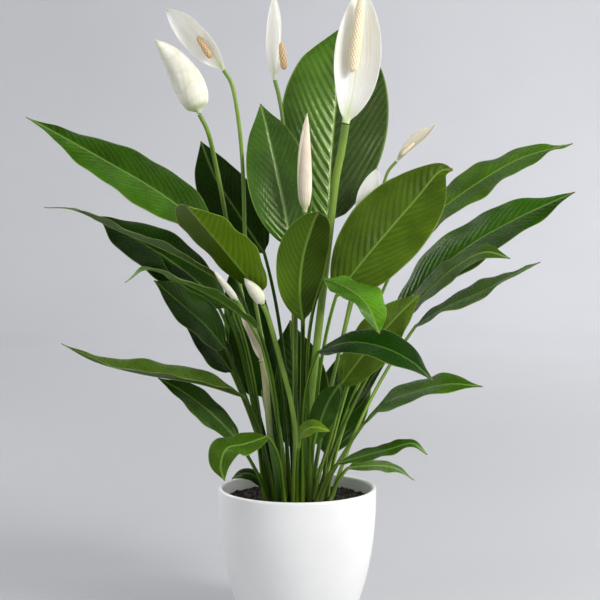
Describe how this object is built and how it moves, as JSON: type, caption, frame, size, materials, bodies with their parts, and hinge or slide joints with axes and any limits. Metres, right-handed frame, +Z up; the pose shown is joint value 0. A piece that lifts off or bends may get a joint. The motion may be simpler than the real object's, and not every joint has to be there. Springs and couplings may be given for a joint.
{
  "type": "potted peace lily",
  "caption": "Peace lily with long glossy leaves and white spathes on tall stems, growing from dark soil in a plain round white ceramic pot.",
  "frame": {"origin": "centre of the pot's flat underside", "axes": "+Z up along the pot's axis, -Y towards the front of the plant, +X to its right"},
  "size_m": [0.5184, 0.2659, 0.5874],
  "materials": {
    "glazed_ceramic": "satin white glaze",
    "potting_soil": "moist crumbly potting soil",
    "leaf": "glossy dark to yellowish green leaf with sunken parallel veins",
    "stem": "smooth satin green stem",
    "spathe": "matte creamy white petal-like bract",
    "spadix": "rough cream to tan spike of small knobs"
  },
  "bodies": {
    "root": {"pot": "glazed_ceramic", "soil": "potting_soil", "leaf_01": "leaf", "leaf_02": "leaf", "leaf_03": "leaf", "leaf_04": "leaf", "leaf_05": "leaf", "leaf_06": "leaf", "leaf_07": "leaf", "leaf_08": "leaf", "leaf_09": "leaf", "leaf_10": "leaf", "leaf_11": "leaf", "leaf_12": "leaf", "leaf_13": "leaf", "leaf_14": "leaf", "leaf_15": "leaf", "leaf_16": "leaf", "leaf_17": "leaf", "leaf_18": "leaf", "leaf_19": "leaf", "leaf_20": "leaf", "leaf_21": "leaf", "leaf_22": "leaf", "leaf_23": "leaf", "leaf_24": "leaf", "leaf_25": "leaf", "leaf_26": "leaf", "leaf_27": "leaf", "leaf_28": "leaf", "leaf_29": "leaf", "leaf_30": "leaf", "leaf_31": "leaf", "leaf_32": "leaf", "leaf_33": "leaf", "leaf_34": "leaf", "flower_stem_1": "stem", "spathe_1": "spathe", "flower_stem_2": "stem", "spathe_2": "spathe", "flower_stem_3": "stem", "spathe_3": "spathe", "flower_stem_4": "stem", "spathe_4": "spathe", "flower_stem_5": "stem", "spathe_5": "spathe", "flower_stem_6": "stem", "spathe_6": "spathe", "flower_stem_7": "stem", "spathe_7": "spathe", "flower_stem_8": "stem", "spathe_8": "spathe", "flower_stem_9": "stem", "spathe_9": "spathe", "flower_stem_10": "stem", "spathe_10": "spathe", "spadix_2": "spadix", "spadix_3": "spadix", "spadix_4": "spadix", "spadix_6": "spadix"}
  },
  "joints": []
}
